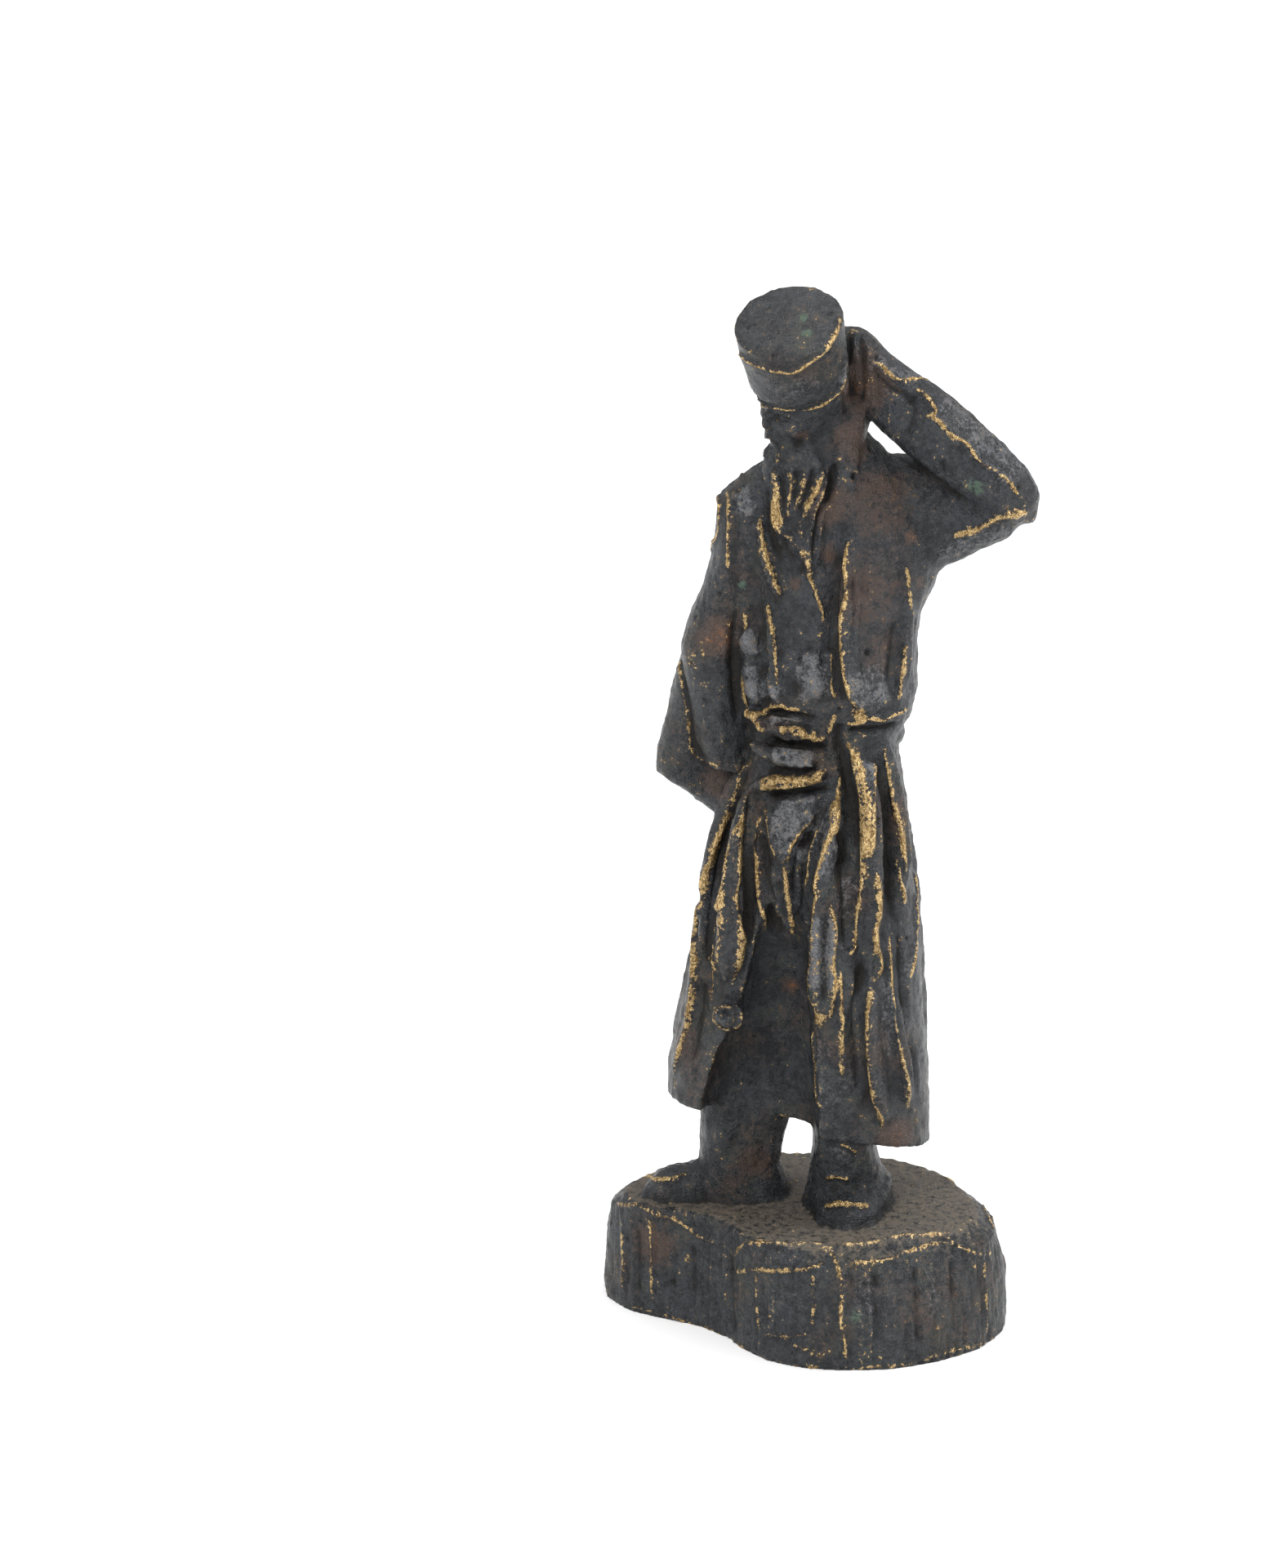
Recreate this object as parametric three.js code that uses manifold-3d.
// A small cast bronze: a bearded man in a round brimless cap and a belted long coat, striding, with
// one hand at the back of his head, on a rough rocky base that is cast in one with him.
// Millimetres, +Z up, seen from -Y. He faces -Y, so his left arm and leg are on the +X side.
// The masses are worked out round a line that stands at x = 0, y = 0 under his chest, and the whole
// cast is moved at the end so that the origin is under the middle of its bounding box.
import * as THREE from "three";
import { mergeVertices } from "three/addons/utils/BufferGeometryUtils.js";
import Module from "manifold-3d";

const wasm = await Module();
wasm.setup();

// Driving sizes
const BASE_HEIGHT = 19;
const BASE_BEVEL = 3.2;
const BASE_BEVEL_DROP = 2.6;
const HEM_Z = 33.5;
const HEM_FALL_RIGHT = 0.185;
const HEM_FALL_BACK = 0.12;
const WAIST_Z = 96.5;
const CAP_TOP = new THREE.Vector3(-3.5, -10.8, 165.4);
const CAP_UP = new THREE.Vector3(-0.148, -0.45, 0.88).normalize();
const CAP_RADIUS = 8.35;
const CAP_RIM_RADIUS = 7.6;
const CAP_HEIGHT = 11.4;
const FACE_TURN = 47;

// Level sections of the coat below and above the belt, each [z, left, right, front, back].
const SKIRT_LEVELS = [
  [HEM_Z, -21.7, 19.8, -11.6, 14.4], [38, -21.5, 19.7, -12, 14.4], [46, -20.2, 19.3, -12.8, 14],
  [55, -18.4, 18.6, -13.4, 13.4], [63, -16.6, 18, -13.8, 12.8], [69, -15.2, 17.5, -13.6, 12.2],
  [75, -14.5, 16.8, -13.2, 11.6], [80, -13.7, 16, -12.7, 11], [86, -11.9, 15, -11.8, 10.2],
  [91, -10, 14.4, -11, 9.2], [WAIST_Z, -8.8, 13.8, -9.8, 8.2],
];
const CHEST_LEVELS = [
  [WAIST_Z - 4, -8.6, 13.6, -9.6, 7.6], [WAIST_Z, -8.8, 13.6, -9.6, 7.8], [99.4, -9, 14.6, -10, 8],
  [101, -9.2, 15.8, -10.4, 8.8], [103, -9.4, 16.4, -11, 9.2], [106, -9.6, 16.5, -11.2, 9.4],
  [112, -9.8, 16.6, -10.8, 9.8], [118, -10.2, 17.5, -10.4, 10], [123, -11, 19.8, -9.9, 10],
  [128, -12, 21, -9.4, 9.8], [133, -12.6, 19.6, -8.6, 9.2], [137, -11.8, 17.2, -7.2, 8],
  [139.4, -7.8, 14.4, -6.2, 6.6], [142.2, -5.2, 11.6, -5.6, 5.8], [145.6, -4, 8.2, -4.6, 5.2],
];
const CLOTH_SQUARENESS = 2.3;

const BRONZE = { color: 0x3b3a35, roughness: 0.45, metalness: 0.85 };

const rad = THREE.MathUtils.degToRad;
const smooth = THREE.MathUtils.smoothstep;
const lerp = THREE.MathUtils.lerp;

// A closed three.js geometry as a solid.
function solid(geometry) {
  const bare = new THREE.BufferGeometry();
  bare.setAttribute("position", geometry.getAttribute("position"));
  bare.setIndex(geometry.getIndex());
  const merged = mergeVertices(bare, 1e-4);
  return new wasm.Manifold(
    new wasm.Mesh({
      numProp: 3,
      vertProperties: new Float32Array(merged.attributes.position.array),
      triVerts: new Uint32Array(merged.index.array),
    }),
  );
}

// Smooth interpolation through rows of numbers, the first of each row being the key.
function smoothTable(rows) {
  const table = new THREE.CubicInterpolant(
    rows.map((row) => row[0]),
    rows.flatMap((row) => row.slice(1)),
    rows[0].length - 1,
  );
  return (key) => Array.from(table.evaluate(key));
}

// A cylinder whose points are put in their places by place(turn, t, reach): turn is the angle round
// it, t runs from 0 at its first end to 1 at its last, and reach is 0 on its axis and 1 on its skin.
function skin(sides, rows, place) {
  const geometry = new THREE.CylinderGeometry(1, 1, 1, sides, rows);
  const position = geometry.attributes.position;
  const point = new THREE.Vector3();
  for (let i = 0; i < position.count; i++) {
    point.fromBufferAttribute(position, i);
    const turn = Math.atan2(point.x, point.z);
    const reach = Math.hypot(point.x, point.z);
    point.copy(place(turn, 0.5 - point.y, reach));
    position.setXYZ(i, point.x, point.y, point.z);
  }
  return solid(geometry);
}

// The signed power that turns an ellipse into a squarer section.
const squared = (value, power) => Math.sign(value) * Math.abs(value) ** (2 / power);

// A standing mass from level sections, each [z, left, right, front, back]. relief(x, z, turn) is how
// far the skin stands out, and settle(x, y) moves its foot in height. crowd gathers its columns in front.
function standing({ levels, sides, rows, power = 2.2, crowd = 0, relief = () => 0, settle = () => 0 }) {
  const section = smoothTable(levels);
  const low = levels[0][0];
  const high = levels[levels.length - 1][0];
  return skin(sides, rows, (turn, t, reach) => {
    const z = lerp(high, low, t);
    const [left, right, front, back] = section(z);
    const swept = turn - crowd * Math.sin(turn);
    const sin = squared(Math.sin(swept), power);
    const cos = squared(Math.cos(swept), power);
    const halfWide = (right - left) / 2;
    const halfDeep = (back - front) / 2;
    const x = (left + right) / 2 + halfWide * sin * reach;
    const y = (front + back) / 2 - halfDeep * cos * reach;
    const out = new THREE.Vector3(sin / halfWide, -cos / halfDeep, 0).normalize();
    const drop = settle(x, y) * (1 - smooth(z, low, high));
    return new THREE.Vector3(x, y, z + drop).addScaledVector(out, reach * relief(x, z, swept));
  });
}

// A limb along a curved line. Each station is [x, y, z, halfWide, halfThick], side is the direction
// of its width, and round is the share of its length that each end takes to close.
function limb({ stations, sides, rows, side, power = 2, round = [0.1, 0.1], relief = () => 0 }) {
  const line = new THREE.CatmullRomCurve3(stations.map((s) => new THREE.Vector3(s[0], s[1], s[2])));
  const last = stations.length - 1;
  const girth = smoothTable(stations.map((s, i) => [i / last, s[3], s[4]]));
  const across = new THREE.Vector3(...side);
  const closing = (share, length) => {
    const open = length > 0 ? Math.min(1, share / length) : 1;
    return Math.sqrt(Math.max(0.03, 1 - (1 - open) ** 2));
  };
  return skin(sides, rows, (turn, t, reach) => {
    const centre = line.getPoint(t);
    const along = line.getTangent(t);
    const wideWay = across.clone().addScaledVector(along, -across.dot(along)).normalize();
    const thickWay = along.clone().cross(wideWay);
    const [wide, thick] = girth(t);
    const close = closing(t, round[0]) * closing(1 - t, round[1]) * reach;
    const point = centre
      .addScaledVector(wideWay, squared(Math.sin(turn), power) * wide * close)
      .addScaledVector(thickWay, squared(Math.cos(turn), power) * thick * close);
    const facing = Math.max(0, -thickWay.y * Math.cos(turn));
    return point.add(new THREE.Vector3(0, -facing * reach * relief(point.x, point.z), 0));
  });
}

// A ball stretched to half sizes and moved to its centre.
function ball(centre, halves, detail = 12) {
  const geometry = new THREE.SphereGeometry(1, detail, Math.round(detail * 0.7));
  geometry.scale(...halves);
  geometry.translate(...centre);
  return solid(geometry);
}

// Where the front face of a standing mass lies at x and z.
function frontFace(levels, power) {
  const section = smoothTable(levels);
  return (x, z) => {
    const [left, right, front, back] = section(THREE.MathUtils.clamp(z, levels[0][0], levels.at(-1)[0]));
    const aside = Math.min(1, Math.abs((2 * x - left - right) / (right - left)));
    return (front + back) / 2 - ((back - front) / 2) * (1 - aside ** power) ** (1 / power);
  };
}

// A raised band of cloth that lies on a front face along a path of [x, z] points, highest first.
function band(face, path, width, thick) {
  return limb({
    stations: path.map(([x, z]) => [x, face(x, z) + 0.25 * thick, z, width / 2, thick]),
    sides: 6, rows: path.length + 2, side: [1, 0, 0], power: 2, round: [0.2, 0.2],
  });
}

// A fold that runs down a face along a path of [x, z] points, highest first: a ridge, or a furrow
// where rise is negative. It fades out over its first and last few millimetres.
function fold(path, width, rise, fade = 5) {
  const line = smoothTable(path.map(([x, z]) => [z, x]).reverse());
  const top = path[0][1];
  const bottom = path[path.length - 1][1];
  return (x, z) => {
    if (z > top + fade || z < bottom - fade) return 0;
    const [middle] = line(THREE.MathUtils.clamp(z, bottom, top));
    const away = Math.abs(x - middle) / width;
    if (away >= 1) return 0;
    const ends = smooth(z, bottom - fade, bottom) * (1 - smooth(z, top, top + fade));
    return rise * ends * (0.5 + 0.5 * Math.cos(Math.PI * away));
  };
}

const total = (folds) => (x, z) => folds.reduce((sum, each) => sum + each(x, z), 0);

// The base: two outlines in plan, one at the ground and one round its top, anticlockwise from the front.
function base() {
  const foot = [
    [6.4, -23.2], [14, -22.4], [21.6, -19], [27.7, -13.8], [31.6, -6.6], [32.2, 3], [30.6, 10], [26.6, 16.5],
    [19, 21.5], [8, 24.4], [-4, 24], [-15, 21.4], [-24, 19], [-29.6, 17], [-31.9, 12.4], [-31.6, 6.2],
    [-27.8, 0.3], [-21, -3.6], [-16.2, -6], [-12, -10.2], [-9, -15.6], [-5.2, -19.8], [0, -22.4],
  ];
  const top = [
    [4, -18.6], [11.6, -16.2], [19.4, -13.2], [25.6, -10.2], [27.2, -4.8], [26.4, 2.2], [24, 8.6], [20.6, 14.8],
    [14, 20], [5, 22.2], [-4, 21.8], [-12, 19], [-19, 16.4], [-24.2, 13], [-27.2, 8.6], [-28.8, 3.6],
    [-26.6, -1.4], [-20.4, -4.4], [-14.6, -6.6], [-11.6, -9.6], [-9.4, -14.6], [-6, -17.4], [-1, -18.4],
  ];
  const curve = (points) =>
    new THREE.CatmullRomCurve3(points.map(([x, y]) => new THREE.Vector3(x, y, 0)), true, "catmullrom", 0.22);
  const footCurve = curve(foot);
  const topCurve = curve(top);
  // Rings from the top down: [height, share of the way from the top outline to the foot's]. The
  // bevel round the top keeps its width where the side below it slopes further out.
  const rings = [[BASE_HEIGHT, 0], [BASE_HEIGHT - BASE_BEVEL_DROP, 0], [9, 0.95], [1.6, 1.02], [0, 1]];
  const middle = new THREE.Vector3(1, 2, 0);
  return skin(2 * foot.length, rings.length - 1, (turn, t, reach) => {
    const ring = Math.round(t * (rings.length - 1));
    const [height, share] = rings[ring];
    const along = (turn / (2 * Math.PI) + 1) % 1;
    const edge = topCurve.getPoint(along);
    const toFoot = footCurve.getPoint(along).sub(edge);
    const bevelShare = Math.min(0.75, BASE_BEVEL / toFoot.length());
    edge.addScaledVector(toFoot, ring === 1 ? bevelShare : share);
    return middle.clone().lerp(edge, reach).setZ(height);
  });
}

function boots() {
  const trailing = limb({
    stations: [
      [-5, 8.2, 20, 3.6, 4], [-10, 6.4, 20.6, 4.6, 4.6], [-15.5, 4.4, 20.4, 4.4, 4],
      [-20.5, 3, 19.8, 4.2, 3.8], [-25.8, 2.2, 19.2, 3.4, 3],
    ],
    sides: 10, rows: 7, side: [0, 1, 0], power: 2.5, round: [0.15, 0.14],
  });
  const leading = limb({
    stations: [
      [8.2, 7.5, 20.4, 5.4, 4], [7.6, 2, 21, 6.6, 4.4], [7.1, -3, 20.6, 6.4, 4.2],
      [6.7, -7.5, 19.6, 5, 4], [6.5, -11.6, 19, 4.1, 3.5],
    ],
    sides: 10, rows: 7, side: [1, 0, 0], power: 2.7, round: [0.15, 0.1],
  });
  return [trailing, leading];
}

function legs() {
  const trailing = standing({
    levels: [
      [18, -18, -2, -1.6, 12.4], [22, -17, -3.4, -1, 11.4], [27, -16.6, -3.9, -1.2, 10.6],
      [33, -16.8, -2, -1.6, 10], [42, -16, 1, -2, 9], [58, -12, 3, -4, 8], [72, -8, 4, -7, 6],
    ],
    sides: 16, rows: 8, power: 2.4,
    relief: total([
      fold([[-12.6, 50], [-13.4, 28]], 2.6, 1),
      fold([[-7.8, 56], [-8.4, 26]], 2.6, -1.1),
    ]),
  });
  const leading = standing({
    levels: [
      [18, -0.4, 14.6, -5.5, 7.5], [22, 0.3, 13.2, -5.8, 6.5], [27, 1, 11.8, -7.6, 5.5],
      [34, 1.4, 10.6, -10.4, 5.5], [44, 1, 11.4, -12.6, 6], [53, 0.4, 10.5, -14.4, 6],
      [60, 0.2, 9.5, -15, 6], [70, 0.4, 8.5, -14, 6], [80, 1, 8, -12, 6],
    ],
    sides: 16, rows: 10, power: 2.7,
    relief: total([fold([[3.4, 78], [2.6, 66], [2.8, 56.5]], 2.6, 1.6, 2.5)]),
  });
  return [trailing, leading];
}

// The coat from the belt down: flaring and pleated, with its front open over the trousers.
function skirt() {
  const furrows = total([
    fold([[-10.6, 88], [-13.2, 78], [-14, 68], [-14.8, 50]], 2.2, -1.5),
    fold([[1.4, 87], [-0.2, 80], [-0.8, 74]], 2.2, -1.6, 3),
    fold([[6, 88], [5.8, 78], [5.8, 66]], 2.2, -1.5),
    fold([[7.4, 60], [7.2, 50], [8, 40]], 2.2, -1.5),
    fold([[12.8, 88], [13, 76], [12.8, 60]], 2.2, -1.4),
  ]);
  const flare = standing({
    levels: SKIRT_LEVELS,
    sides: 52, rows: 11, power: CLOTH_SQUARENESS, crowd: 0.3,
    relief: (x, z, turn) => {
      const front = smooth(Math.cos(turn), -0.1, 0.15);
      const gathers = Math.sin(turn * 11 + 0.6) * smooth(z, 26, 60) * (1 - 0.6 * smooth(z, 84, 97));
      return front * furrows(x, z) + (1 - front) * gathers;
    },
    settle: (x, y) => -HEM_FALL_RIGHT * (x + 1.6) - HEM_FALL_BACK * y,
  });
  const opening = standing({
    levels: [
      [24, -16.8, 3, -24, -1], [38, -16.4, 2.4, -24, -1], [46, -14.6, 2, -24, -2],
      [54, -11, 1.6, -24, -3.6], [62, -9, 1, -24, -6.4], [70, -7.6, 0, -24, -9.6], [77, -5.6, -1.6, -24, -12.6],
    ],
    sides: 14, rows: 7, power: 3.4,
  });
  const face = frontFace(SKIRT_LEVELS, CLOTH_SQUARENESS);
  const folds = [
    band(face, [[-9.7, 92], [-12.2, 86], [-14, 78], [-15.6, 64], [-18.6, 42]], 3.2, 1.5),
    band(face, [[-2.4, 91], [-2.8, 84], [-3.3, 78], [-2.8, 69]], 5.4, 1.4),
    band(face, [[4.9, 91], [3.4, 82], [2.4, 71]], 3.2, 1.6),
    band(face, [[7, 98], [9, 91], [9.8, 82], [9.8, 72], [8.8, 61]], 4.4, 1.8),
    band(face, [[11.4, 99], [13.2, 91], [14.6, 84], [15.2, 72]], 2.8, 1.4),
    band(face, [[9.6, 65], [9.6, 54], [10.4, 46], [12, 37.5]], 3, 1.6),
    band(face, [[14.2, 57], [15.4, 47], [16, 37]], 3, 1.3),
  ];
  return folds.reduce((coat, each) => coat.add(each), flare.subtract(opening));
}

// The coat above the belt, bloused over the sash and open on the chest.
function chest() {
  const furrows = total([
    fold([[3.9, 134], [4, 122], [3.6, 110]], 2.2, -1.3),
    fold([[-7, 118], [-6.6, 106]], 1.8, -0.8, 3),
  ]);
  const body = standing({
    levels: CHEST_LEVELS,
    sides: 44, rows: 13, power: CLOTH_SQUARENESS, crowd: 0.25,
    relief: (x, z, turn) => {
      const front = smooth(Math.cos(turn), -0.1, 0.15);
      const spine = -1 * (1 - smooth(Math.abs(x - 3), 0, 2.6)) * smooth(z, 100, 106) * (1 - smooth(z, 134, 140));
      const blouse = Math.sin(turn * 9) * 0.6 * (1 - smooth(z, 104, 118)) * smooth(z, 99, 102);
      return front * furrows(x, z) + (1 - front) * (spine + blouse);
    },
  });
  const face = frontFace(CHEST_LEVELS, CLOTH_SQUARENESS);
  const folds = [
    band(face, [[-7.6, 139], [-7.4, 132], [-6, 127], [-3.8, 120.6]], 3, 1.3),
    band(face, [[-6.3, 122], [-5.4, 114], [-4.6, 104]], 2.4, 1.1),
    band(face, [[-8.6, 117], [-8.4, 110], [-7.8, 102]], 2.8, 1.4),
    band(face, [[5.9, 135], [6.1, 127], [5.8, 117], [6.4, 108], [8, 102]], 3, 1.3),
    band(face, [[14.4, 128], [14.8, 116], [13.8, 103]], 3, 1.2),
  ];
  return folds.reduce((coat, each) => coat.add(each), body);
}

// The sash, wound in crumpled rolls across the belly, and plain round the back.
function sash() {
  const roll = (heights, halfHeight, from, to, front) =>
    limb({
      stations: heights.map((z, i) => {
        const share = i / (heights.length - 1);
        const bow = Math.sin(Math.PI * share);
        const pinch = 1 + 0.22 * Math.cos(4 * Math.PI * share);
        return [lerp(from, to, share), front - 1.5 * bow, z, halfHeight * pinch, 1.9];
      }),
      sides: 7, rows: 7, side: [0, 0, 1], power: 2, round: [0.34, 0.34],
    });
  const belt = limb({
    stations: Array.from({ length: 9 }, (_, i) => {
      const turn = rad(75 + (i / 8) * 210);
      return [2.5 + 11.6 * Math.sin(turn), -0.7 - 8.8 * Math.cos(turn), WAIST_Z + 1, 2, 1.2];
    }),
    sides: 5, rows: 12, side: [0, 0, 1], power: 3, round: [0.04, 0.04],
  });
  return [
    belt,
    roll([102.6, 101, 100.4, 100.4, 101.4], 1.8, -9.6, 6, -7.7),
    roll([97.6, 96.4, 96, 96.2, 97], 1.9, -9, 5.6, -7.6),
    roll([90.4, 91.8, 92.4, 93.2, 94.8], 2, -9.4, 6.4, -7.9),
  ];
}

// The sash's hanging end, with the knot at its foot.
function sashEnd() {
  const strip = limb({
    stations: [
      [-8.8, -8, 91, 1.2, 1.4], [-10.2, -10, 84, 1.8, 1.5], [-11.6, -11.8, 72, 2.2, 1.5],
      [-12.4, -12.2, 60, 2.1, 1.6],
    ],
    sides: 8, rows: 8, side: [1, 0, 0], power: 2.6,
  });
  return [strip, ball([-11.8, -12.4, 55.4], [2.6, 2.4, 2.6], 9)];
}

// His right arm: the sleeve in front, and its wide cuff swung back behind him with the hand in it.
function rightSleeve() {
  const upper = standing({
    levels: [
      [91.8, -15.6, -9.6, -3, 5], [94.4, -17, -9, -4, 6], [99, -17.9, -8.6, -4.8, 6.6],
      [105, -18.9, -8, -5.6, 7], [111, -19.8, -7.2, -6, 7.2], [115, -18.8, -6.4, -6.4, 7.4],
      [120, -16.6, -5.2, -6.8, 7.6], [126, -15, -4.6, -7.2, 7.6], [132, -14.2, -4.2, -6.8, 7.2],
      [136, -13.7, -4.4, -5.6, 6.2], [138.2, -11.6, -5, -4.2, 5], [139.6, -8.2, -5.6, -2.6, 3.6],
    ],
    sides: 16, rows: 10, power: 2.8,
    relief: total([fold([[-9.9, 122], [-10.4, 112], [-10.2, 96]], 1.6, -1.2)]),
  });
  const cuff = standing({
    levels: [
      [82.4, -14.6, -10.6, 3, 7], [83.2, -16.6, -9.4, 2, 8], [85.2, -18, -8.6, 1, 8.8],
      [87.8, -20.4, -8.2, 0.4, 9], [89.2, -23.6, -8, 0.4, 9.2], [91, -23.9, -7.8, 0.2, 9.2],
      [98, -22.3, -7.4, -0.4, 9], [106, -20.6, -7, -1, 8.6], [114, -18.2, -6.6, -1, 8],
    ],
    sides: 14, rows: 9, power: 3,
    relief: total([fold([[-14.6, 108], [-15.6, 86]], 2.2, -0.9)]),
  });
  const hand = limb({
    stations: [[-14, 6.4, 85.4, 2.4, 2.2], [-11.4, 8.6, 82, 2.6, 2.2], [-8.4, 10.6, 80.4, 2, 1.7]],
    sides: 10, rows: 6, side: [0, 0, 1], power: 2.4, round: [0.1, 0.3],
  });
  return [upper, cuff, hand];
}

// His left arm: raised and bent tight at the elbow, the forearm running on into the hand that lies
// against the back of the cap.
function leftArm() {
  const upper = limb({
    stations: [
      [7, 1.4, 131.4, 6, 9.6], [14, 1, 131.8, 6.2, 9.8], [20, 0.2, 131.6, 6, 8],
      [26.4, -0.5, 132, 5.2, 4.6], [33, -1.4, 132.4, 3.6, 2.6],
    ],
    sides: 14, rows: 8, side: [0, 1, 0], power: 2.4, round: [0.05, 0.1],
  });
  const forearm = limb({
    stations: [
      [34.3, -1.6, 131.6, 2.4, 1.8], [30.9, -1.8, 135.6, 4.4, 4.6], [26.3, -1.9, 139.6, 4.7, 5.3],
      [21.4, -1.7, 144, 4.7, 5.5], [16.8, -1.2, 147.7, 4.7, 5.6], [12.2, 0, 151.2, 4.6, 4.9],
      [8.8, 1, 154.7, 4.6, 4.2], [6.2, 1.8, 158, 4, 3.6], [3.4, 2.2, 160.8, 3, 2.6],
    ],
    sides: 12, rows: 13, side: [-0.1, 0.98, -0.12], power: 2.6, round: [0.05, 0.1],
    relief: fold([[13, 155], [16.4, 153], [19.4, 148.8], [23.8, 144.5], [30.2, 138.9], [33, 135]], 2.6, 0.9),
  });
  return [upper, forearm];
}

// The neck, and the collar that runs down his left side from the cap to the chest.
function neck() {
  const column = limb({
    stations: [[0.4, -2, 152, 6.2, 5.6], [1.4, -0.6, 146, 6, 5.8], [2.4, 0.6, 139, 7.6, 7]],
    sides: 12, rows: 4, side: [1, 0, 0], power: 2.2, round: [0.1, 0],
  });
  const collar = limb({
    stations: [
      [5, -0.2, 154, 4, 3.4], [5, -1.6, 149, 4.4, 3.2], [4.5, -3.4, 144.4, 3.7, 3],
      [4.4, -5, 139.6, 3.6, 2.5], [3.8, -6.8, 132, 3, 2.1], [3, -8, 124.6, 1.8, 1.7],
    ],
    sides: 8, rows: 7, side: [1, 0, 0], power: 2.3, round: [0.1, 0.15],
  });
  return [column, collar];
}

// The head, bowed forward and turned to his right. Its masses are made round the middle of the cap's
// rim, with the cap's axis up and the face to -Y, and then put in their place.
function head() {
  const facing = new THREE.Vector3(-Math.sin(rad(FACE_TURN)), -Math.cos(rad(FACE_TURN)), 0);
  facing.addScaledVector(CAP_UP, -facing.dot(CAP_UP)).normalize();
  const across = CAP_UP.clone().cross(facing).normalize();
  const place = new THREE.Matrix4()
    .makeBasis(across, facing.clone().negate(), CAP_UP)
    .setPosition(CAP_TOP.clone().addScaledVector(CAP_UP, -CAP_HEIGHT));
  // The cap's rings from its top down: [height, radius].
  const rings = [
    [CAP_HEIGHT, CAP_RADIUS - 1.1], [CAP_HEIGHT - 0.7, CAP_RADIUS], [CAP_HEIGHT / 2, CAP_RADIUS - 0.6],
    [0.9, CAP_RIM_RADIUS + 0.1], [-0.5, CAP_RIM_RADIUS - 0.9],
  ];
  const cap = skin(24, rings.length - 1, (turn, t, reach) => {
    const [z, radius] = rings[Math.round(t * (rings.length - 1))];
    const dome = z === CAP_HEIGHT ? 0.8 * (1 - reach) : 0;
    return new THREE.Vector3(Math.sin(turn) * radius * reach, -Math.cos(turn) * radius * reach, z + dome);
  });
  const masses = [
    cap,
    ball([0, 0.4, -3], [6.5, 7.2, 8.4], 12),
    ball([0, -2.2, -6.2], [4.9, 4.7, 6], 12),
    limb({
      stations: [[0, -5.9, -1.6, 0.7, 1], [0, -7, -4, 0.8, 1], [0, -7, -5.4, 1.2, 0.8]],
      sides: 6, rows: 4, side: [1, 0, 0], round: [0.2, 0.2],
    }),
    ball([0, -5.4, -7.4], [3.2, 1.8, 1.2], 8),
  ];
  const beard = limb({
    stations: [
      [-4.4, -4.6, 147, 3.8, 2.6], [-3, -6, 142.4, 4.8, 2.5], [-1.8, -7.4, 137.2, 4.6, 2.1],
      [-1.4, -8.2, 133, 3.8, 1.8], [-0.6, -8.9, 129, 2.4, 1.5], [0.2, -9.4, 124.8, 0.9, 1.2],
    ],
    sides: 12, rows: 9, side: [1, 0, 0], power: 3, round: [0.3, 0.08],
    relief: total([
      fold([[-5.2, 140], [-5, 134], [-3.3, 131.2], [-0.8, 128.4], [0.2, 125]], 1.1, 0.8, 2),
      fold([[1.4, 141], [0.4, 136], [-1.2, 132.4]], 1.1, 0.8, 2),
    ]),
  });
  return [...masses.map((mass) => mass.transform(place.toArray())), beard];
}

const masses = [
  base(), ...boots(), ...legs(), skirt(), chest(), ...sash(), ...sashEnd(), ...rightSleeve(),
  ...leftArm(), ...neck(), ...head(),
];
const cast = masses.reduce((joined, mass) => joined.add(mass));

// The joined solid as a mesh, its bounding box centred on the origin in plan.
function meshOf(made, name, finish) {
  const { numProp, vertProperties, triVerts } = made.getMesh();
  const count = vertProperties.length / numProp;
  const positions = new Float32Array(count * 3);
  for (let i = 0; i < count; i++) {
    positions.set(vertProperties.subarray(i * numProp, i * numProp + 3), i * 3);
  }
  const geometry = new THREE.BufferGeometry();
  geometry.setAttribute("position", new THREE.BufferAttribute(positions, 3));
  geometry.setIndex(new THREE.BufferAttribute(triVerts, 1));
  geometry.computeBoundingBox();
  const middle = geometry.boundingBox.getCenter(new THREE.Vector3());
  geometry.translate(-middle.x, -middle.y, 0);
  geometry.computeVertexNormals();
  const mesh = new THREE.Mesh(geometry, new THREE.MeshStandardMaterial(finish));
  mesh.name = name;
  return mesh;
}

const figure = new THREE.Group();
figure.add(meshOf(cast, "bronze_figure", BRONZE));

export default figure;
